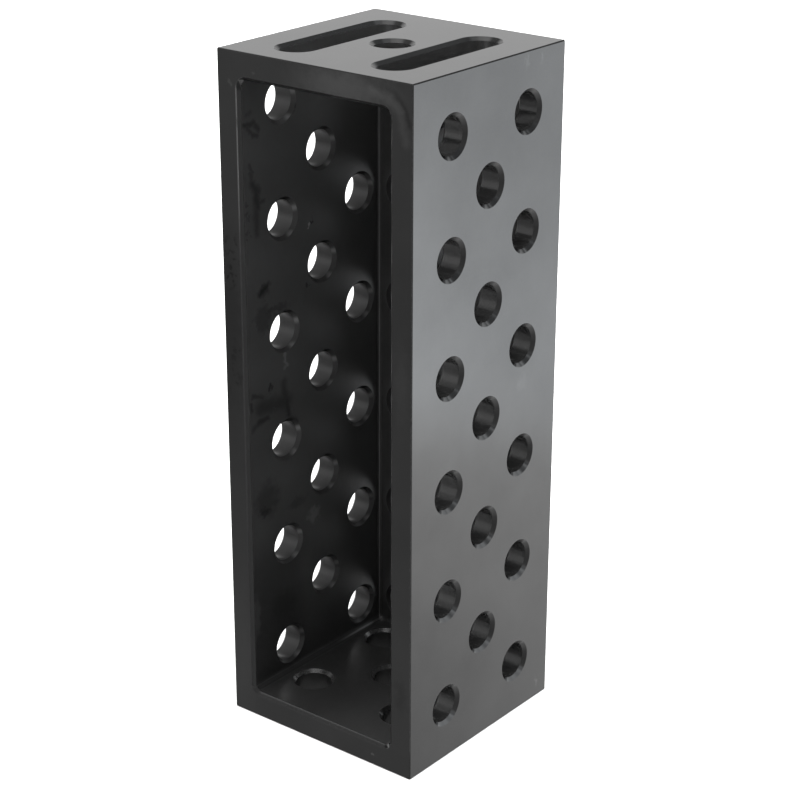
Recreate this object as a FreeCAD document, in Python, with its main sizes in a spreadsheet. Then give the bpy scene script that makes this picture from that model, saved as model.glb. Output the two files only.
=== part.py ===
import FreeCAD, Part
import os
import Sketcher

# Riser block for a 16 mm modular clamping table: one hollow casting, open on
# its front (-Y) face, with its six outer faces machined square.
# Frame: +Z up, origin at the centre of the bottom face, X across the open
# face, Y into the block. Millimetres.

doc = FreeCAD.newDocument("riser_block")

# ---------------------------------------------------------------- dimensions
sheet = doc.addObject("Spreadsheet::Sheet", "dims")
table = [
    # outer block
    ("block_width", 100.0, "across the open face, X"),
    ("block_depth", 100.0, "front to back, Y"),
    ("block_height", 300.0, "Z"),
    ("edge_break", 0.5, "bevel on the twelve outer edges"),
    # hollow
    ("wall", 11.5, "thickness of the two sides, the back and both ends"),
    ("hollow_corner", 3.5, "radius of the hollow's four long corners"),
    ("hollow_root", 2.0, "radius where the back wall meets the others"),
    ("rim_bevel", 1.5, "bevel around the mouth of the hollow"),
    # clamping holes
    ("hole_diameter", 16.0, "every round hole, and the width of the slots"),
    ("hole_bevel", 1.5, "bevel on both mouths of each hole and slot"),
    ("column_offset", 25.0, "outer columns from the middle of a face"),
    ("row_pitch", 50.0, "rows along Z"),
    ("outer_first_row", 25.0, "first row of the outer columns above the base"),
    ("outer_rows", 6.0, "rows in each outer column"),
    ("middle_first_row", 50.0, "first row of the middle column above the base"),
    ("middle_rows", 5.0, "rows in the middle column"),
    # slots in the top plate
    ("slot_travel", 55.0, "between the centres of a slot's round ends"),
    ("slot_shift", -2.0, "middle of the slots from the middle of the plate, Y"),
    # how far each cutting profile runs past the faces that it cuts
    ("runout", 1.0, "runs past each face"),
]
sheet.set("A1", "name")
sheet.set("B1", "value")
sheet.set("C1", "meaning")
for row, (alias, value, meaning) in enumerate(table, start=2):
    sheet.set("A%d" % row, alias)
    sheet.set("B%d" % row, str(value))
    sheet.set("C%d" % row, meaning)
    sheet.setAlias("B%d" % row, alias)
doc.recompute()

body = doc.addObject("PartDesign::Body", "riser_block")
body.Label = "riser_block"
body.Placement = FreeCAD.Placement()


# ------------------------------------------------------------------- helpers
def origin_item(role):
    return next(o for o in body.Origin.OriginFeatures if o.Role == role)


def sketch_on(name, role, **offset):
    """A sketch on one of the body's origin planes, moved along the plane's own
    axes by expressions: lx and ly in the plane, lz off it."""
    sk = body.newObject("Sketcher::SketchObject", name)
    sk.AttachmentSupport = [(origin_item(role), "")]
    sk.MapMode = "FlatFace"
    for key, expression in offset.items():
        sk.setExpression("AttachmentOffset.Base." + key[1], expression)
    doc.recompute()
    return sk


def value_of(expression):
    return float(sheet.evalExpression(expression.replace("dims.", "")))


def place_point(sk, geo, pos, tag, ex, ey):
    """Ties a point of the sketch to the two expressions (None is zero)."""
    for axis, kind, expression in (("x", "DistanceX", ex), ("y", "DistanceY", ey)):
        if expression is None:
            on = -2 if axis == "x" else -1
            sk.addConstraint(Sketcher.Constraint("PointOnObject", geo, pos, on))
        else:
            name = tag + "_" + axis
            i = sk.addConstraint(
                Sketcher.Constraint(kind, -1, 1, geo, pos, value_of(expression))
            )
            sk.renameConstraint(i, name)
            sk.setExpression("Constraints." + name, expression)


def polygon(sk, tag, corners):
    """A closed polygon through (x expression, y expression) corners."""
    pts = [
        FreeCAD.Vector(value_of(ex) if ex else 0.0, value_of(ey) if ey else 0.0, 0)
        for ex, ey in corners
    ]
    first = sk.GeometryCount
    count = len(pts)
    for i in range(count):
        sk.addGeometry(Part.LineSegment(pts[i], pts[(i + 1) % count]), False)
    for i in range(count):
        sk.addConstraint(
            Sketcher.Constraint(
                "Coincident", first + i, 2, first + (i + 1) % count, 1
            )
        )
    for i, (ex, ey) in enumerate(corners):
        place_point(sk, first + i, 1, "%s%d" % (tag, i), ex, ey)


def slot_outline(sk, tag, cx, cy, half, radius):
    """A straight slot along the sketch's y axis about (cx, cy)."""
    x, y = value_of(cx), value_of(cy)
    a, r = value_of(half), value_of(radius)
    V, up = FreeCAD.Vector, FreeCAD.Vector(0, 0, 1)
    g = sk.GeometryCount
    sk.addGeometry(Part.LineSegment(V(x + r, y - a, 0), V(x + r, y + a, 0)), False)
    sk.addGeometry(
        Part.ArcOfCircle(Part.Circle(V(x, y + a, 0), up, r), 0.0, 3.141592653589793),
        False,
    )
    sk.addGeometry(Part.LineSegment(V(x - r, y + a, 0), V(x - r, y - a, 0)), False)
    sk.addGeometry(
        Part.ArcOfCircle(
            Part.Circle(V(x, y - a, 0), up, r), 3.141592653589793, 6.283185307179586
        ),
        False,
    )
    for g0, p0, g1, p1 in ((g, 2, g + 1, 1), (g + 1, 2, g + 2, 1), (g + 2, 2, g + 3, 1), (g + 3, 2, g, 1)):
        sk.addConstraint(Sketcher.Constraint("Tangent", g0, p0, g1, p1))
    sk.addConstraint(Sketcher.Constraint("Vertical", g))
    place_point(sk, g + 1, 3, tag + "_far", cx, "%s + %s" % (cy, half))
    i = sk.addConstraint(
        Sketcher.Constraint("DistanceY", -1, 1, g + 3, 3, value_of("%s - %s" % (cy, half)))
    )
    sk.renameConstraint(i, tag + "_near_y")
    sk.setExpression("Constraints." + tag + "_near_y", "%s - %s" % (cy, half))
    i = sk.addConstraint(Sketcher.Constraint("Radius", g + 1, r))
    sk.renameConstraint(i, tag + "_radius")
    sk.setExpression("Constraints." + tag + "_radius", radius)


def edge_names(shape, test):
    return ["Edge%d" % (i + 1) for i, e in enumerate(shape.Edges) if test(e)]


def must_cut(what, before, after, low, high):
    cut = before - after
    print("%s: removed %.1f mm3" % (what, cut))
    if not low <= cut <= high:
        raise RuntimeError("%s removed %.1f mm3, not %.1f to %.1f" % (what, cut, low, high))


# ------------------------------------------------------------- outer block
sk = sketch_on("footprint", "XY_Plane")
polygon(
    sk,
    "corner",
    [
        ("-dims.block_width / 2", "-dims.block_depth / 2"),
        ("dims.block_width / 2", "-dims.block_depth / 2"),
        ("dims.block_width / 2", "dims.block_depth / 2"),
        ("-dims.block_width / 2", "dims.block_depth / 2"),
    ],
)
block = body.newObject("PartDesign::Pad", "block")
block.Profile = sk
block.setExpression("Length", "dims.block_height")
doc.recompute()

W, D, H = value_of("block_width"), value_of("block_depth"), value_of("block_height")
wall, bevel = value_of("wall"), value_of("hole_bevel")
hole_r = value_of("hole_diameter") / 2

edges = body.newObject("PartDesign::Chamfer", "outer_edges")
edges.Base = (block, edge_names(block.Shape, lambda e: True))
edges.setExpression("Size", "dims.edge_break")
doc.recompute()
if len(edges.Base[1]) != 12:
    raise RuntimeError("the block should have twelve outer edges")

# --------------------------------------------------------------- the hollow
# One deep pocket from the open front to the back wall, with rounded corners.
sk = sketch_on("hollow_outline", "XZ_Plane", lz="dims.block_depth / 2")
x0, x1 = -(W / 2 - wall), W / 2 - wall
z0, z1 = wall, H - wall
R = value_of("hollow_corner")
V, up = FreeCAD.Vector, FreeCAD.Vector(0, 0, 1)
q = 1.5707963267948966
sk.addGeometry(Part.LineSegment(V(x0 + R, z0, 0), V(x1 - R, z0, 0)), False)
sk.addGeometry(Part.ArcOfCircle(Part.Circle(V(x1 - R, z0 + R, 0), up, R), 3 * q, 4 * q), False)
sk.addGeometry(Part.LineSegment(V(x1, z0 + R, 0), V(x1, z1 - R, 0)), False)
sk.addGeometry(Part.ArcOfCircle(Part.Circle(V(x1 - R, z1 - R, 0), up, R), 0, q), False)
sk.addGeometry(Part.LineSegment(V(x1 - R, z1, 0), V(x0 + R, z1, 0)), False)
sk.addGeometry(Part.ArcOfCircle(Part.Circle(V(x0 + R, z1 - R, 0), up, R), q, 2 * q), False)
sk.addGeometry(Part.LineSegment(V(x0, z1 - R, 0), V(x0, z0 + R, 0)), False)
sk.addGeometry(Part.ArcOfCircle(Part.Circle(V(x0 + R, z0 + R, 0), up, R), 2 * q, 3 * q), False)
for i in range(8):
    sk.addConstraint(Sketcher.Constraint("Tangent", i, 2, (i + 1) % 8, 1))
for i in (0, 4):
    sk.addConstraint(Sketcher.Constraint("Horizontal", i))
for i in (2, 6):
    sk.addConstraint(Sketcher.Constraint("Vertical", i))
for i in (3, 5, 7):
    sk.addConstraint(Sketcher.Constraint("Equal", 1, i))
for name, kind, geo, pos, expression in (
    ("left", "DistanceX", 6, 1, "-(dims.block_width / 2 - dims.wall)"),
    ("right", "DistanceX", 2, 1, "dims.block_width / 2 - dims.wall"),
    ("floor", "DistanceY", 0, 1, "dims.wall"),
    ("ceiling", "DistanceY", 4, 1, "dims.block_height - dims.wall"),
):
    i = sk.addConstraint(
        Sketcher.Constraint(kind, -1, 1, geo, pos, value_of(expression))
    )
    sk.renameConstraint(i, name)
    sk.setExpression("Constraints." + name, expression)
i = sk.addConstraint(Sketcher.Constraint("Radius", 1, R))
sk.renameConstraint(i, "corner")
sk.setExpression("Constraints.corner", "dims.hollow_corner")
hollow = body.newObject("PartDesign::Pocket", "hollow")
hollow.Profile = sk
hollow.setExpression("Length", "dims.block_depth - dims.wall")
doc.recompute()
full = (W - 2 * wall) * (H - 2 * wall) * (D - wall)
must_cut("hollow", edges.Shape.Volume, hollow.Shape.Volume, 0.99 * full, full)

# The root of the hollow, where the back wall meets the sides and the ends.
back = D / 2 - wall
root = body.newObject("PartDesign::Fillet", "hollow_root")
root.Base = (
    hollow,
    edge_names(
        hollow.Shape,
        lambda e: all(abs(v.Point.y - back) < 1e-6 for v in e.Vertexes)
        and abs(e.BoundBox.YMax - back) < 1e-6
        and abs(e.BoundBox.YMin - back) < 1e-6,
    ),
)
root.setExpression("Radius", "dims.hollow_root")
doc.recompute()
if len(root.Base[1]) != 8:
    raise RuntimeError("the hollow's root should have eight edges")

# The bevelled rim around the mouth of the hollow.
front = -D / 2
rim = body.newObject("PartDesign::Chamfer", "hollow_rim")
rim.Base = (
    root,
    edge_names(
        root.Shape,
        lambda e: abs(e.BoundBox.YMax - front) < 1e-6
        and abs(e.BoundBox.YMin - front) < 1e-6
        and e.BoundBox.XMin > -W / 2 + wall / 2
        and e.BoundBox.XMax < W / 2 - wall / 2
        and e.BoundBox.ZMin > wall / 2
        and e.BoundBox.ZMax < H - wall / 2,
    ),
)
rim.setExpression("Size", "dims.rim_bevel")
doc.recompute()
if len(rim.Base[1]) != 8:
    raise RuntimeError("the hollow's rim should have eight edges")

# ---------------------------------------------------------- clamping holes
# Each hole is a turned cut: a bevel at the outer face, a straight bore and a
# bevel at the inner face. The bevels run on past both faces, so that they
# also clear the hollow's rounded corners.
RADIUS = "dims.hole_diameter / 2"
MOUTH = "dims.hole_diameter / 2 + dims.hole_bevel + dims.runout"
one_hole = 3.141592653589793 * hole_r**2 * wall
bevels = 2 * 3.141592653589793 / 3 * bevel * (
    (hole_r + bevel) ** 2 + (hole_r + bevel) * hole_r - 2 * hole_r**2
)
each_low, each_high = (one_hole + bevels) * 0.98, (one_hole + bevels) * 1.05


def hole_profile(outer, inner, outward):
    """Corners (along the axis, off the axis) of the half section of a hole
    through a wall from its outer face to its inner face. outward is + or -,
    the way out of the block along the axis."""
    inward = "-" if outward == "+" else "+"
    return [
        ("%s %s dims.runout" % (outer, outward), None),
        ("%s %s dims.runout" % (outer, outward), MOUTH),
        ("%s %s dims.hole_bevel" % (outer, inward), RADIUS),
        ("%s %s dims.hole_bevel" % (inner, outward), RADIUS),
        ("%s %s dims.runout" % (inner, inward), MOUTH),
        ("%s %s dims.runout" % (inner, inward), None),
    ]


RIGHT = ("dims.block_width / 2", "dims.block_width / 2 - dims.wall", "+")
LEFT = ("-dims.block_width / 2", "-dims.block_width / 2 + dims.wall", "-")
BACK = ("dims.block_depth / 2", "dims.block_depth / 2 - dims.wall", "+")
BOTTOM = ("0", "dims.wall", "-")
TOP = ("dims.block_height", "dims.block_height - dims.wall", "+")


def turned_holes(name, role, offset, along, walls):
    """One turned cut through each of the walls, about the sketch's x axis
    (along is "x") or y axis."""
    before = body.Shape.Volume
    sk = sketch_on(name + "_section", role, **offset)
    for k, wall_at in enumerate(walls):
        corners = hole_profile(*wall_at)
        if along == "y":
            corners = [(b, a) for a, b in corners]
        polygon(sk, "abcd"[k], corners)
    cut = body.newObject("PartDesign::Groove", name)
    cut.Profile = sk
    cut.ReferenceAxis = (sk, ["H_Axis" if along == "x" else "V_Axis"])
    cut.Angle = 360
    doc.recompute()
    n = len(walls)
    must_cut(name, before, cut.Shape.Volume, n * each_low, n * each_high)
    return cut


def patterned(name, cut, count_each, first, second=None):
    """Repeats a cut in rows, and in columns where second is given: each is
    (axis role, spacing expression, number expression)."""
    start = cut.BaseFeature.Shape.Volume
    rows = body.newObject("PartDesign::LinearPattern", name)
    rows.Originals = [cut]
    rows.Direction = (origin_item(first[0]), [""])
    rows.setExpression("Length", "(%s) * (%s - 1)" % (first[1], first[2]))
    rows.setExpression("Occurrences", first[2])
    if second:
        rows.Direction2 = (origin_item(second[0]), [""])
        rows.setExpression("Length2", "(%s) * (%s - 1)" % (second[1], second[2]))
        rows.setExpression("Occurrences2", second[2])
    body.Tip = rows
    doc.recompute()
    n = count_each * round(value_of(first[2])) * (round(value_of(second[2])) if second else 1)
    must_cut(name, start, rows.Shape.Volume, n * each_low, n * each_high)
    return rows


# both sides: two outer columns of six, then a middle column of five between
cut = turned_holes(
    "side_hole",
    "XY_Plane",
    {"ly": "-dims.column_offset", "lz": "dims.outer_first_row"},
    "x",
    [RIGHT, LEFT],
)
patterned(
    "side_outer_columns",
    cut,
    2,
    ("Z_Axis", "dims.row_pitch", "dims.outer_rows"),
    ("Y_Axis", "2 * dims.column_offset", "2"),
)
cut = turned_holes(
    "side_middle_hole",
    "XY_Plane",
    {"lz": "dims.middle_first_row"},
    "x",
    [RIGHT, LEFT],
)
patterned(
    "side_middle_column", cut, 2, ("Z_Axis", "dims.row_pitch", "dims.middle_rows")
)

# back wall: the same grid
cut = turned_holes(
    "back_hole",
    "XY_Plane",
    {"lx": "-dims.column_offset", "lz": "dims.outer_first_row"},
    "y",
    [BACK],
)
patterned(
    "back_outer_columns",
    cut,
    1,
    ("Z_Axis", "dims.row_pitch", "dims.outer_rows"),
    ("X_Axis", "2 * dims.column_offset", "2"),
)
cut = turned_holes(
    "back_middle_hole", "XY_Plane", {"lz": "dims.middle_first_row"}, "y", [BACK]
)
patterned(
    "back_middle_column", cut, 1, ("Z_Axis", "dims.row_pitch", "dims.middle_rows")
)

# bottom plate: four holes at the corners of a square
cut = turned_holes(
    "bottom_hole",
    "XZ_Plane",
    {"lx": "-dims.column_offset", "lz": "dims.column_offset"},
    "y",
    [BOTTOM],
)
patterned(
    "bottom_square",
    cut,
    1,
    ("X_Axis", "2 * dims.column_offset", "2"),
    ("Y_Axis", "2 * dims.column_offset", "2"),
)

# the middle hole of both end plates
turned_holes("end_middle_holes", "XZ_Plane", {}, "y", [BOTTOM, TOP])

# ------------------------------------------------------ slots in the top plate
# Two straight slots, front to back, one on each side of the middle hole.
half = "dims.slot_travel / 2"


def slots(name, height, radius, length, upward, taper):
    before = body.Shape.Volume
    sk = sketch_on(name + "_outline", "XY_Plane", lz=height)
    slot_outline(sk, "left", "-dims.column_offset", "dims.slot_shift", half, radius)
    slot_outline(sk, "right", "dims.column_offset", "dims.slot_shift", half, radius)
    cut = body.newObject("PartDesign::Pocket", name)
    cut.Profile = sk
    cut.Reversed = upward
    cut.setExpression("Length", length)
    if taper:
        cut.TaperAngle = taper
    doc.recompute()
    return cut, before - cut.Shape.Volume


outline = 2 * (3.141592653589793 * hole_r**2 + 2 * hole_r * value_of("slot_travel"))
cut, removed = slots(
    "top_slots", "dims.block_height", RADIUS, "dims.wall + dims.runout", False, 0
)
print("top_slots: removed %.1f mm3" % removed)
if not 0.99 * outline * wall < removed < 1.02 * outline * wall:
    raise RuntimeError("the top slots are not cut right through")

# bevels on the slots' outer and inner mouths: they widen away from the plate's
# middle and run on past its faces
along = 2 * (2 * 3.141592653589793 * hole_r + 2 * value_of("slot_travel"))
low, high = 0.45 * along * bevel**2, 0.65 * along * bevel**2
for name, height, upward in (
    ("top_slot_bevels", "dims.block_height - dims.hole_bevel", True),
    ("inner_slot_bevels", "dims.block_height - dims.wall + dims.hole_bevel", False),
):
    cut, removed = slots(
        name, height, RADIUS, "dims.hole_bevel + dims.runout", upward, 45
    )
    print("%s: removed %.1f mm3" % (name, removed))
    if not low < removed < high:
        raise RuntimeError("%s removed %.1f mm3, not %.1f to %.1f" % (name, removed, low, high))

body.Tip = cut
doc.recompute()

# ------------------------------------------------------------ check and write
for obj in doc.Objects:
    if "Invalid" in obj.State or "Error" in obj.State:
        raise RuntimeError("%s is in state %s" % (obj.Name, obj.State))
for obj in doc.Objects:
    if obj.TypeId == "Sketcher::SketchObject":
        free = obj.solve()
        if free != 0:
            raise RuntimeError("sketch %s doesn't solve: %d" % (obj.Name, free))

os.makedirs("parts", exist_ok=True)
for part in (body,):
    shape = part.Shape
    if shape.isNull() or not shape.isValid() or len(shape.Solids) != 1:
        raise RuntimeError("%s is not one valid solid" % part.Label)
    box = shape.BoundBox
    print(
        "%s: %.3f x %.3f x %.3f mm, %.1f mm3, %d faces"
        % (part.Label, box.XLength, box.YLength, box.ZLength, shape.Volume, len(shape.Faces))
    )
    shape.exportStep("parts/%s.step" % part.Label)
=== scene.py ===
import bpy
import math
from mathutils import Matrix, Vector

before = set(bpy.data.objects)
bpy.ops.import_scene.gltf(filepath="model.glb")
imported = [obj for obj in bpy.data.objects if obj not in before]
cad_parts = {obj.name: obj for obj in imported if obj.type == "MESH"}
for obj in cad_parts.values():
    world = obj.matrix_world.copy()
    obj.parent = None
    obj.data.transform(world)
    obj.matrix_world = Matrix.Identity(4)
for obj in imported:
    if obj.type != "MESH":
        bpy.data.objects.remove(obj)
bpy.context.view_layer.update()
scene = bpy.context.scene
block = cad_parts["riser_block"]


# ------------------------------------------------------------------ camera
# Where the photograph was taken from, in metres, then azimuth, elevation and
# roll of the view in degrees and the focal length in pixels of an 800 x 800
# frame.
PLACE = Vector((0.5290, -0.6585, 0.4855))
FOCAL, AZ, EL, ROLL = 2121.76, 38.546, 21.928, 0.149

a, e, r = (math.radians(v) for v in (AZ, EL, ROLL))
back = Vector((math.sin(a) * math.cos(e), -math.cos(a) * math.cos(e), math.sin(e)))
right = Vector((math.cos(a), math.sin(a), 0.0))
up = back.cross(right)
right, up = (
    math.cos(r) * right + math.sin(r) * up,
    math.cos(r) * up - math.sin(r) * right,
)
cam_data = bpy.data.cameras.new("camera")
cam_data.sensor_width = 36.0
cam_data.lens = FOCAL * 36.0 / 800.0
cam_data.clip_start, cam_data.clip_end = 0.01, 100.0
camera = bpy.data.objects.new("camera", cam_data)
camera.matrix_world = Matrix.Translation(PLACE) @ Matrix(
    (
        (right.x, up.x, back.x),
        (right.y, up.y, back.y),
        (right.z, up.z, back.z),
    )
).to_4x4()
scene.collection.objects.link(camera)
scene.camera = camera
scene.view_settings.view_transform = "Standard"


# ------------------------------------------------------------- node helpers
class Tree:
    """Short ways to add shader nodes. A value is a number, a tuple or a socket."""

    def __init__(self, tree):
        self.tree, self.nodes, self.links = tree, tree.nodes, tree.links
        self.nodes.clear()

    def put(self, socket, value):
        if isinstance(value, bpy.types.NodeSocket):
            self.links.new(value, socket)
        elif value is not None:
            socket.default_value = value

    def node(self, kind, inputs=None, **settings):
        n = self.nodes.new(kind)
        for k, v in settings.items():
            setattr(n, k, v)
        for k, v in (inputs or {}).items():
            self.put(n.inputs[k], v)
        return n

    def math(self, op, x, y=None, z=None, clamp=False):
        n = self.node("ShaderNodeMath", operation=op, use_clamp=clamp)
        for i, v in enumerate((x, y, z)):
            if v is not None:
                self.put(n.inputs[i], v)
        return n.outputs[0]

    def add(self, x, *more):
        for y in more:
            x = self.math("ADD", x, y)
        return x

    def sub(self, x, y):
        return self.math("SUBTRACT", x, y)

    def mul(self, x, *more):
        for y in more:
            x = self.math("MULTIPLY", x, y)
        return x

    def most(self, x, *more):
        for y in more:
            x = self.math("MAXIMUM", x, y)
        return x

    def absolute(self, x):
        return self.math("ABSOLUTE", x)

    def below(self, x, y):
        return self.math("LESS_THAN", x, y)

    def above(self, x, y):
        return self.math("GREATER_THAN", x, y)

    def step(self, x, lo, hi):
        """0 below lo, 1 above hi (or the other way round), smooth between."""
        n = self.node("ShaderNodeMapRange", interpolation_type="SMOOTHSTEP")
        flip = lo > hi
        self.put(n.inputs[0], x)
        self.put(n.inputs[1], min(lo, hi))
        self.put(n.inputs[2], max(lo, hi))
        self.put(n.inputs[3], 1.0 if flip else 0.0)
        self.put(n.inputs[4], 0.0 if flip else 1.0)
        return n.outputs[0]

    def curve(self, x, points):
        """A number that follows x along straight pieces through the points."""
        n = self.node("ShaderNodeFloatCurve")
        lo, hi = points[0][0], points[-1][0]
        top = max(v for _, v in points)
        c = n.mapping.curves[0]
        while len(c.points) > 2:
            c.points.remove(c.points[-1])
        for i, (u, v) in enumerate(points):
            at = ((u - lo) / (hi - lo), v / top)
            if i < 2:
                c.points[i].location = at
                pt = c.points[i]
            else:
                pt = c.points.new(*at)
            pt.handle_type = "VECTOR"
        n.mapping.update()
        m = self.node("ShaderNodeMapRange")
        for i, v in enumerate((x, lo, hi, 0.0, 1.0)):
            self.put(m.inputs[i], v)
        self.put(n.inputs["Value"], m.outputs[0])
        return self.mul(n.outputs[0], top)

    def mix(self, fac, x, y):
        """x where fac is 0, y where it is 1, as numbers."""
        n = self.node("ShaderNodeMix", data_type="FLOAT")
        for i, v in ((0, fac), (2, x), (3, y)):
            self.put(n.inputs[i], v)
        return n.outputs[0]

    def vec(self, x, y, z):
        n = self.node("ShaderNodeCombineXYZ")
        for i, v in enumerate((x, y, z)):
            self.put(n.inputs[i], v)
        return n.outputs[0]

    def vmath(self, op, v, w=None, out=0):
        n = self.node("ShaderNodeVectorMath", operation=op)
        self.put(n.inputs[0], v)
        if w is not None:
            self.put(n.inputs[1], w)
        return n.outputs[out]

    def dot(self, v, w):
        return self.vmath("DOT_PRODUCT", v, w, "Value")

    def noise(self, vector, scale, detail=3.0, rough=0.5, out=0):
        n = self.node("ShaderNodeTexNoise", normalize=True)
        self.put(n.inputs["Vector"], vector)
        n.inputs["Scale"].default_value = scale
        n.inputs["Detail"].default_value = detail
        n.inputs["Roughness"].default_value = rough
        return n.outputs[out]

    def spot(self, v, centre, radii, soft=0.5):
        """1 inside an ellipsoid, 0 outside. A radius of 0 leaves out its axis."""
        scale = tuple(1.0 / x if x else 0.0 for x in radii)
        d = self.vmath("MULTIPLY", self.vmath("SUBTRACT", v, centre), scale)
        return self.step(self.vmath("LENGTH", d, None, "Value"), 1.0, 1.0 - soft)

    def stroke(self, v, start, end, width):
        """1 along a straight stroke, 0 beyond its width."""
        run = Vector(end) - Vector(start)
        rel = self.vmath("SUBTRACT", v, start)
        far = self.math(
            "MULTIPLY", self.dot(rel, tuple(run)), 1.0 / run.length_squared, clamp=True
        )
        n = self.node("ShaderNodeVectorMath", {0: tuple(run), 3: far}, operation="SCALE")
        gap = self.vmath("SUBTRACT", rel, n.outputs[0])
        return self.step(self.vmath("LENGTH", gap, None, "Value"), width, 0.0)


# ------------------------------------------------------------ floor and light
floor_mesh = bpy.data.meshes.new("floor")
S = 12.0
floor_mesh.from_pydata(
    [(-S, -S, 0), (S, -S, 0), (S, S, 0), (-S, S, 0)], [], [(0, 1, 2, 3)]
)
floor = bpy.data.objects.new("floor", floor_mesh)
scene.collection.objects.link(floor)
floor.location.z = -0.00002
floor.visible_glossy = False
floor_mat = bpy.data.materials.new("floor")
floor_mat.use_nodes = True
t = Tree(floor_mat.node_tree)
out = t.node("ShaderNodeOutputMaterial")
bsdf = t.node(
    "ShaderNodeBsdfDiffuse", {"Color": (0.86, 0.86, 0.86, 1.0), "Roughness": 0.0}
)
t.put(out.inputs["Surface"], bsdf.outputs[0])
floor_mesh.materials.append(floor_mat)

# A dark sheet of painted shade under the block, which the bores of its bottom plate mirror.
contact_shade_mesh = bpy.data.meshes.new("contact_shade")
C = 0.0499
contact_shade_mesh.from_pydata(
    [(-C, -C, 0), (C, -C, 0), (C, C, 0), (-C, C, 0)], [], [(0, 1, 2, 3)]
)
contact_shade = bpy.data.objects.new("contact_shade", contact_shade_mesh)
scene.collection.objects.link(contact_shade)
contact_shade.location.z = -0.00001
contact_shade_mat = bpy.data.materials.new("contact_shade")
contact_shade_mat.use_nodes = True
t = Tree(contact_shade_mat.node_tree)
out = t.node("ShaderNodeOutputMaterial")
bsdf = t.node(
    "ShaderNodeBsdfDiffuse", {"Color": (0.22, 0.22, 0.22, 1.0), "Roughness": 0.0}
)
t.put(out.inputs["Surface"], bsdf.outputs[0])
contact_shade_mesh.materials.append(contact_shade_mat)

# The studio: bright white sweeps behind the object and at both sides, a dark
# room in front, and a wide soft light overhead that lights the floor.
world = bpy.data.worlds.new("studio")
world.use_nodes = True
scene.world = world
world.cycles.sampling_method = "MANUAL"
world.cycles.sample_map_resolution = 2048
t = Tree(world.node_tree)
direction = t.node("ShaderNodeTexCoord").outputs["Generated"]
xyz = t.node("ShaderNodeSeparateXYZ")
t.put(xyz.inputs[0], direction)
dx, dy, dz = xyz.outputs
around = t.math("ARCTAN2", dx, dy)  # 0 straight behind, + to the right

sweep_edges = t.mul(t.step(around, -1.95, -1.60), t.step(around, 1.96, 1.80))
sweep_height = t.curve(
    dz,
    (
        (-1.0, 0.58),
        (-0.90, 0.55),
        (-0.75, 0.44),
        (-0.60, 0.45),
        (-0.52, 0.74),
        (-0.486, 0.77),
        (-0.46, 0.86),
        (-0.402, 0.92),
        (-0.379, 1.44),
        (-0.355, 1.39),
        (-0.33, 1.30),
        (-0.28, 1.21),
        (-0.23, 1.15),
        (0.0, 0.95),
        (0.19, 0.74),
        (0.24, 0.78),
        (0.40, 0.72),
        (0.45, 0.68),
        (0.55, 0.15),
        (1.0, 0.15),
    ),
)
# brighter where the right end of the sweep is nearest, darker on the floor
# there, and dark low down on the left
near_right = t.step(around, 0.645, 0.662)
upper = t.mul(t.step(dz, -0.395, -0.375), t.step(dz, -0.24, -0.28))
lower = t.mul(t.step(around, 0.60, 0.65), t.step(dz, -0.445, -0.48))
west = t.mul(
    t.step(around, 0.35, 0.0), t.step(dz, -0.42, -0.52), t.step(dz, -1.05, -0.75)
)
sweep_height = t.mul(
    sweep_height,
    t.add(1.0, t.mul(near_right, upper, 0.32), t.mul(lower, -0.30)),
    t.sub(1.0, t.mul(west, 0.20)),
)
# a white panel high on the right, which the lower bevels of the holes catch
panel = t.mul(
    t.step(around, 0.40, 0.50),
    t.step(around, 1.80, 1.62),
    t.step(dz, 0.40, 0.47),
    t.step(dz, 0.70, 0.62),
)
sweep = t.most(t.mul(sweep_edges, sweep_height), t.mul(panel, 0.85))
room = t.curve(
    dz,
    (
        (-1.0, 0.40),
        (-0.90, 0.35),
        (-0.75, 0.28),
        (-0.62, 0.20),
        (-0.50, 0.21),
        (-0.42, 0.19),
        (-0.35, 0.17),
        (-0.25, 0.20),
        (0.0, 0.26),
        (0.45, 0.26),
        (0.66, 0.28),
        (0.74, 0.21),
        (1.0, 0.24),
    ),
)
east = t.mul(t.step(around, 1.70, 1.90), t.step(dz, -0.30, -0.10))
room = t.mul(room, t.sub(1.0, t.mul(east, 0.35)), t.sub(1.0, sweep_edges))
# the light overhead as the bevels mirror it, stronger towards the front, where
# the far bevels in the floor of the hollow see it
zenith = t.step(dz, 0.84, 0.90)
front = t.mul(t.step(dz, 0.80, 0.87), t.step(t.absolute(around), 1.9, 2.1))
# and a window straight in front of the hollow, which the bores mirror
window = t.mul(
    t.step(t.absolute(t.add(around, 2.44)), 0.16, 0.11),
    t.step(dz, -0.06, 0.0),
    t.step(dz, 0.56, 0.50),
)
light = t.add(
    sweep, room, t.mul(zenith, 0.24), t.mul(front, 0.25), t.mul(window, 0.22)
)
path = t.node("ShaderNodeLightPath")
strength = t.mix(path.outputs["Is Camera Ray"], light, 1.0)
# slightly cool in the upper part of the sweep on the right
cool = t.mul(
    t.mul(sweep_edges, t.step(dz, -0.40, -0.37)),
    t.step(t.dot(direction, (1.0, 0.2, 0.0)), 0.0, 0.5),
)
cool = t.mul(cool, t.sub(1.0, path.outputs["Is Camera Ray"]))
tint = t.node("ShaderNodeCombineColor")
t.put(tint.inputs[0], t.mix(cool, 1.0, 0.968))
tint.inputs[1].default_value = 1.0
t.put(tint.inputs[2], t.mix(cool, 1.0, 1.028))
bg = t.node("ShaderNodeBackground")
t.put(bg.inputs["Color"], tint.outputs[0])
t.put(bg.inputs["Strength"], strength)
out = t.node("ShaderNodeOutputWorld")
t.put(out.inputs["Surface"], bg.outputs[0])

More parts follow.
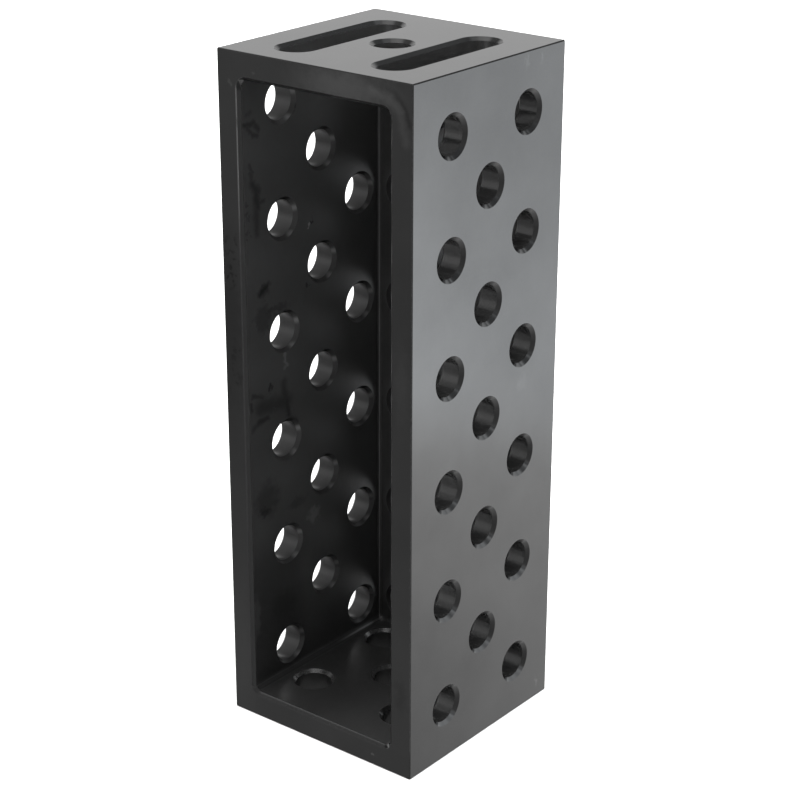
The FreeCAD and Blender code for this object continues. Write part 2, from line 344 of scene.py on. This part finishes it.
# The wide soft light overhead. Only the floor and the matt hollow show it.
lamp_data = bpy.data.lights.new("overhead", "AREA")
lamp_data.shape = "DISK"
lamp_data.size = 6.0
lamp_data.energy = 410.0
lamp = bpy.data.objects.new("overhead", lamp_data)
lamp.location = (0.0, 0.0, 3.0)
lamp.visible_camera = False
lamp.visible_glossy = False
scene.collection.objects.link(lamp)

# --------------------------------------------------------------- black oxide
mat = bpy.data.materials.new("black_oxide")
mat.use_nodes = True
t = Tree(mat.node_tree)
out = t.node("ShaderNodeOutputMaterial")
pbr = t.node("ShaderNodeBsdfPrincipled")
t.put(out.inputs["Surface"], pbr.outputs[0])
coords = t.node("ShaderNodeTexCoord")
p = t.vmath("MULTIPLY", coords.outputs["Object"], (1000.0, 1000.0, 1000.0))  # mm
xyz = t.node("ShaderNodeSeparateXYZ")
t.put(xyz.inputs[0], p)
X, Y, Z = xyz.outputs
ax, ay = t.absolute(X), t.absolute(Y)
zc = t.absolute(t.sub(Z, 150.0))

# Which surface: 1 on the walls of the hollow, 1 in the bores and bevels that
# run through a wall, and 0 for both on the outer faces.
outer_depth = t.sub(50.0, t.most(ax, ay, t.sub(zc, 100.0)))
inner_depth = t.sub(t.most(ax, Y, t.sub(zc, 100.0)), 38.5)
hollow = t.mul(t.below(inner_depth, 0.1), t.above(Y, -48.4))
bore = t.mul(t.above(inner_depth, 0.1), t.above(outer_depth, 0.1))
rim = t.mul(bore, t.below(Y, -48.4))
bevel = t.most(t.below(outer_depth, 1.5), t.below(inner_depth, 1.5))

cloud = t.sub(t.noise(p, 0.035, 4.0, 0.55), 0.5)
fine = t.sub(t.noise(p, 0.9, 3.0, 0.6), 0.5)
skin = t.sub(t.noise(p, 0.11, 3.0, 0.55), 0.5)

# Marks on the surface: mostly blotches and flecks in the skin of the casting, with some painted shade
# and painted highlights among them. The outlines are ragged: positions are shifted by noise before the
# marks are placed.
wobble = t.vmath(
    "MULTIPLY",
    t.vmath("SUBTRACT", t.noise(p, 0.33, 3.0, 0.6, 1), (0.5, 0.5, 0.5)),
    (9.0, 9.0, 9.0),
)
w = t.vmath("ADD", p, wobble)
left_wall = t.mul(hollow, t.below(X, -38.2))
front_face = t.mul(t.below(Y, -49.9), t.sub(1.0, bore))
right_face = t.above(X, 49.9)


def marks(table, gate):
    total = None
    for centre, radii, soft, amount in table:
        m = t.mul(t.spot(w, centre, radii, soft), amount)
        total = m if total is None else t.add(total, m)
    return t.mul(total, gate)


def lines(table, plane, gate):
    pen = t.vmath("MULTIPLY", ink, plane)
    total = None
    for start, end, width, amount in table:
        m = t.mul(t.stroke(pen, start, end, width), amount)
        total = m if total is None else t.most(total, m)
    return t.mul(total, gate)


ink = t.vmath("ADD", p, t.vmath("MULTIPLY", wobble, (0.35, 0.35, 0.35)))
scribble = t.step(t.noise(p, 0.30, 3.0, 0.55), 0.52, 0.62)
blotches_and_shade = t.add(
    marks(
        (
            ((0, -38.1, 196.2), (0, 4.0, 5.0), 0.7, 0.5),
            ((0, -29.0, 186.5), (0, 9.0, 2.6), 0.7, 0.5),
            ((0, -38.5, 184.6), (0, 6.0, 8.0), 0.5, 0.5),
            ((0, -35.0, 152.4), (0, 2.1, 2.2), 0.7, 1.0),
            # a painted shadow beside the ring of the first hole
            ((0, -17.7, 272.5), (0, 2.0, 5.0), 0.7, 0.7),
            ((0, -38.5, 101.0), (0, 11.0, 12.0), 0.7, 0.55),
            ((0, -40.0, 95.5), (0, 4.0, 4.0), 0.8, 0.5),
            ((0, -19.0, 93.0), (0, 8.5, 4.0), 0.8, 0.45),
            ((0, -29.3, 46.0), (0, 12.0, 11.0), 0.8, 0.40),
            ((0, -10.4, 192.0), (0, 1.1, 1.1), 0.6, 0.9),
            ((0, -7.0, 219.2), (0, 1.0, 1.4), 0.5, 0.9),
        ),
        left_wall,
    ),
    t.mul(
        scribble,
        marks(
            (
                ((0, -47.0, 228.0), (0, 2.5, 12.0), 0.4, 0.5),
            ),
            left_wall,
        ),
    ),
    lines(
        (
            # above the third hole of the front column
            ((0, -41.0, 144.8), (0, -25.3, 142.9), 6.8, 0.75),
            ((0, -26.2, 152.1), (0, -26.4, 149.4), 3.4, 0.6),
            ((0, -26.4, 149.4), (0, -24.7, 143.2), 3.6, 0.7),
            ((0, -24.7, 143.2), (0, -23.5, 136.7), 3.0, 0.9),
            ((0, -23.0, 134.0), (0, -18.2, 131.9), 2.2, 0.7),
            ((0, -45.9, 136.4), (0, -43.0, 138.4), 2.4, 0.6),
            ((0, -43.0, 138.4), (0, -37.0, 139.0), 2.6, 0.9),
            ((0, -45.8, 151.4), (0, -39.6, 149.4), 1.9, 0.7),
            ((0, -47.4, 148.4), (0, -46.8, 145.2), 1.8, 0.7),
            # beside the first hole
            ((0, -45.9, 273.6), (0, -43.3, 273.6), 2.0, 0.5),
            ((0, -47.2, 269.2), (0, -41.4, 269.3), 2.0, 0.85),
            ((0, -41.4, 269.3), (0, -38.8, 265.8), 2.0, 0.75),
            ((0, -42.7, 264.4), (0, -39.8, 263.8), 1.8, 0.7),
            ((0, -45.9, 268.5), (0, -43.4, 265.3), 2.0, 0.65),
            # the run above the second hole
            ((0, -45.1, 252.3), (0, -42.8, 248.8), 1.0, 0.6),
            ((0, -44.1, 248.6), (0, -43.5, 244.1), 1.8, 0.6),
            ((0, -43.2, 244.0), (0, -39.7, 240.3), 3.2, 0.85),
            ((0, -41.4, 241.7), (0, -40.6, 233.7), 3.8, 0.9),
            ((0, -40.3, 235.5), (0, -36.8, 235.4), 2.0, 0.7),
            ((0, -41.4, 233.7), (0, -41.0, 222.0), 3.0, 0.65),
            # above the dark patch at the third hole
            ((0, -40.7, 195.5), (0, -34.7, 199.0), 2.2, 0.75),
            ((0, -38.0, 198.6), (0, -35.0, 195.9), 2.2, 0.40),
        ),
        (0.0, 1.0, 1.0),
        left_wall,
    ),
    t.mul(
        scribble,
        marks(
            (
                ((-44.5, 0, 211.0), (5.5, 0, 15.0), 0.4, 0.55),
                ((-45.0, 0, 165.0), (5.0, 0, 16.0), 0.4, 0.35),
            ),
            front_face,
        ),
    ),
    marks(
        (
            ((-47.0, 0, 182.0), (12.0, 0, 62.0), 0.8, 0.42),
            ((45.0, 0, 38.0), (5.0, 0, 13.0), 0.9, 0.28),
        ),
        front_face,
    ),
    lines(
        (
            ((35.0, 0, 297.4), (41.5, 0, 295.2), 1.7, 0.35),
            ((41.5, 0, 295.2), (46.0, 0, 291.0), 1.7, 0.40),
            ((46.0, 0, 291.0), (48.6, 0, 283.5), 1.6, 0.50),
        ),
        (1.0, 0.0, 1.0),
        front_face,
    ),
)
flecks_and_sheen = t.add(
    marks(
        (
            ((0, -8.6, 219.0), (0, 1.2, 1.2), 0.6, 1.0),
            ((0, -32.2, 142.5), (0, 1.8, 1.0), 0.8, 0.15),
            # a painted highlight on the lip of the first hole
            ((0, -18.0, 277.9), (0, 2.6, 1.2), 0.6, 0.30),
            ((0, -8.1, 83.1), (0, 5.0, 5.0), 0.6, 0.40),
            ((0, -47.0, 47.0), (0, 4.0, 15.0), 0.8, 0.25),
            ((0, -13.0, 281.0), (0, 8.0, 4.5), 0.8, 0.12),
            ((0, 2.0, 276.0), (0, 7.0, 8.0), 0.9, 0.10),
        ),
        left_wall,
    ),
    marks(
        (
            ((-30.9, 0, 292.6), (1.6, 0, 1.0), 0.6, 0.5),
            ((-43.6, 0, 287.4), (2.0, 0, 1.2), 0.6, 0.4),
            ((29.6, 0, 5.4), (1.1, 0, 0.9), 0.5, 1.0),
            # a painted highlight down the right strip of the frame, near its edge
            ((45.0, 0, 178.0), (6.0, 0, 30.0), 0.9, 0.20),
            ((15.0, 0, 294.0), (36.0, 0, 11.0), 0.9, 0.85),
            ((-46.0, 0, 25.0), (12.0, 0, 70.0), 0.9, 0.20),
        ),
        front_face,
    ),
    lines(
        (
            ((0, -25.3, 165.0), (0, -25.2, 161.6), 1.4, 0.55),
            ((0, -25.2, 161.6), (0, -23.7, 159.4), 1.3, 0.50),
            ((0, -23.7, 159.4), (0, -25.9, 158.4), 1.2, 0.40),
        ),
        (0.0, 1.0, 1.0),
        left_wall,
    ),
    lines(
        (
            ((30.0, 0, 295.0), (38.5, 0, 292.5), 3.4, 0.35),
            ((38.5, 0, 292.5), (43.5, 0, 288.5), 3.6, 0.45),
            ((43.5, 0, 288.5), (46.6, 0, 277.0), 3.2, 0.35),
        ),
        (1.0, 0.0, 1.0),
        front_face,
    ),
    marks(
        (
            ((0, 23.1, 295.5), (0, 1.6, 5.0), 0.9, 0.15),
            ((0, 33.4, 295.5), (0, 1.6, 5.0), 0.9, 0.15),
            ((0, 25.0, 158.0), (0, 6.0, 5.5), 0.9, 0.10),
            ((0, 41.7, 7.4), (0, 1.4, 3.5), 0.8, 0.35),
        ),
        right_face,
    ),
)

# Painted highlights and painted shade on the inner bevels of the left wall's holes, placed from the
# nearest hole: two light tabs on the right and a dark crescent above.
column = t.math("ROUND", t.mul(Y, 0.04))
near_y = t.sub(Y, t.mul(column, 25.0))
shift = t.mul(t.sub(1.0, t.absolute(column)), 25.0)
near_z = t.sub(t.math("FLOORED_MODULO", t.sub(Z, shift), 50.0), 25.0)
local = t.vmath(
    "ADD", t.vec(0.0, near_y, near_z), t.vmath("MULTIPLY", wobble, (0.0, 0.12, 0.12))
)
left_edge = t.mul(
    bore, t.below(inner_depth, 1.5), t.below(X, -36.0), t.above(Y, -40.0)
)
painted_highlight_tabs = t.mul(
    left_edge,
    t.add(
        t.spot(local, (0, 8.4, 2.8), (0, 3.0, 2.3), 0.95),
        t.spot(local, (0, 5.2, -7.8), (0, 3.0, 2.3), 0.95),
    ),
)
painted_shade_crescent = t.mul(left_edge, t.spot(local, (0, 2.5, 9.0), (0, 5.0, 2.6), 0.7))

# Worn lines where the frame turns into the bevel of the hollow's rim, which also carry a painted
# highlight.
qx, qz = t.sub(ax, 35.0), t.sub(zc, 135.0)
ring = t.sub(
    t.math(
        "SQRT",
        t.add(
            t.math("POWER", t.most(qx, 0.0), 2.0),
            t.math("POWER", t.most(qz, 0.0), 2.0),
        ),
    ),
    5.0,
)
rim_line_noise = t.noise(p, 0.12, 4.0, 0.65)
worn_rim_highlight = t.mul(
    t.step(t.absolute(ring), 0.34, 0.10),
    t.below(Y, -49.2),
    t.step(rim_line_noise, 0.15, 0.45),
    t.mul(t.below(X, -30.0), t.step(Z, 70.0, 130.0), t.step(Z, 287.5, 284.0)),
)

# The bores: the ones through the back are dull and dark, the edges towards the
# hollow keep its matt skin.
ground = t.mul(hollow, t.below(Z, 12.2))
inner = t.mul(bore, t.below(inner_depth, 1.5))
rear = t.mul(bore, t.above(Y, 38.4))
deck = t.mul(bore, t.above(Z, 288.0))
floor_edge = t.mul(inner, t.below(Z, 13.5))
value = t.mix(hollow, 0.165, 0.115)
value = t.add(value, t.mul(ground, t.add(-0.01, t.mul(t.step(X, -8.0, 28.0), 0.06))))
value = t.mix(bore, value, t.mix(bevel, 0.135, 0.165))
value = t.mul(value, t.sub(1.0, t.mul(deck, bevel, 0.10)))
value = t.mix(inner, value, t.mix(floor_edge, 0.105, 0.165))
value = t.mix(t.mul(deck, t.sub(1.0, bevel)), value, 0.215)
value = t.mix(rear, value, 0.05)
# darker low down on the left wall; painted shade in the fillets, with a painted highlight line along
# each
value = t.add(value, t.mul(painted_highlight_tabs, 0.13))
value = t.mul(value, t.sub(1.0, t.mul(painted_shade_crescent, 0.7)))
# painted shade on the rim bevel along the bottom of the hollow
value = t.mul(value, t.sub(1.0, t.mul(rim, t.step(Z, 14.0, 12.0), 0.36)))
low = t.mul(left_wall, t.step(Z, 90.0, 65.0), t.step(Y, -10.0, -25.0))
value = t.mul(value, t.sub(1.0, t.mul(low, 0.38)))
across = t.add(X, Y)
upright = t.mul(hollow, t.below(X, -36.6), t.above(Y, 36.6))
fillet_highlight_line = t.step(t.absolute(across), 0.28, 0.12)
value = t.mul(value, t.sub(1.0, t.mul(upright, t.sub(0.30, t.mul(fillet_highlight_line, 1.7)))))
# painted shade in the fillet between the left wall and the floor, with a painted highlight line along
# its middle
floor_fillet = t.mul(hollow, t.below(X, -36.6), t.below(Z, 13.4))
value = t.mul(value, t.sub(1.0, t.mul(floor_fillet, t.step(Y, 26.0, 5.0), 0.35)))
floor_fillet_line = t.step(t.absolute(t.add(t.sub(X, Z), 50.0)), 0.9, 0.3)
value = t.add(value, t.mul(floor_fillet, floor_fillet_line, t.step(Y, 4.0, 20.0), 0.10))
# painted shade at two corners of the rim, dimming their reflections
rim_corner_shade = t.mul(
    rim,
    t.most(
        t.spot(p, (37.4, -49.4, 11.9), (2.6, 9.0, 2.6), 0.6),
        t.mul(t.spot(p, (-38.5, -49.5, 288.5), (5.5, 9.0, 5.5), 0.4), 0.6),
    ),
)
value = t.mul(value, t.sub(1.0, t.mul(rim_corner_shade, 0.72)))
# a painted highlight line along that bottom rim, left out where the corner shade is painted
bottom_rim_highlight = t.mul(rim, t.step(Z, 14.0, 12.0), t.step(Y, -49.10, -48.75))
value = t.add(value, t.mul(bottom_rim_highlight, t.sub(1.0, rim_corner_shade), 0.10))
# painted shade on the inner bevel of the hole that shows only a tip; the tops of the rings on the
# right are rougher and carry a painted highlight
value = t.mul(
    value, t.sub(1.0, t.mul(floor_edge, t.spot(p, (17.0, -25.0, 12.0), (8.0, 8.0, 6.0), 0.4), 0.6))
)
crown = t.mul(bore, t.above(X, 48.4), t.below(ay, 40.0))
crown = t.mul(crown, t.step(near_z, 5.0, 8.5), t.below(near_z, 12.0))
value = t.add(value, t.mul(crown, 0.12))
value = t.mul(value, t.add(1.0, t.mul(cloud, 0.30), t.mul(fine, 0.10)))
value = t.mul(value, t.sub(1.0, t.mul(blotches_and_shade, 0.6)))
# the flecks with their painted highlights, and the worn rim lines with a painted highlight that grows
# brighter towards the top
value = t.add(value, t.mul(flecks_and_sheen, 0.16), t.mul(worn_rim_highlight, t.add(0.06, t.mul(t.step(Z, 213.0, 250.0), 0.32))))
colour = t.node("ShaderNodeCombineColor")
for i in range(3):
    t.put(colour.inputs[i], value)
t.put(pbr.inputs["Base Color"], colour.outputs[0])
metal = t.mix(t.most(hollow, inner), 1.0, 0.85)
metal = t.mix(t.mul(bore, t.sub(1.0, bevel)), metal, 0.88)
metal = t.mix(rim, metal, 0.94)
metal = t.mix(deck, metal, t.mix(bevel, 0.90, 0.97))
t.put(pbr.inputs["Metallic"], metal)
rough = t.sub(t.mix(hollow, 0.125, 0.42), t.mul(ground, 0.10))
rough = t.mix(bore, rough, t.mix(bevel, t.mix(t.above(X, 0.0), 0.30, 0.22), 0.16))
rough = t.mix(inner, rough, t.mix(floor_edge, 0.36, 0.24))
rough = t.mix(rear, rough, 0.50)
rough = t.add(rough, t.mul(crown, 0.20))
rough = t.add(rough, t.mul(cloud, 0.05), t.mul(fine, 0.03), t.mul(blotches_and_shade, 0.10))
t.put(pbr.inputs["Roughness"], rough)

# Bump: the hollow keeps the soft waves of the casting, the outer faces only
# the faint lines of the grinding wheel, which run across each face.
grind = t.noise(t.vmath("MULTIPLY", p, (0.05, 0.05, 1.0)), 3.0, 2.0, 0.5)
height = t.add(
    t.mul(t.add(t.mul(skin, 0.16), t.mul(fine, 0.006)), hollow),
    t.mul(t.add(t.mul(grind, 0.0002), t.mul(fine, 0.0001)), t.sub(1.0, hollow)),
)
bump = t.node("ShaderNodeBump", {"Height": height})
bump.inputs["Distance"].default_value = 0.001
bump.inputs["Strength"].default_value = 1.0
t.put(pbr.inputs["Normal"], bump.outputs[0])

block.data.materials.clear()
block.data.materials.append(mat)
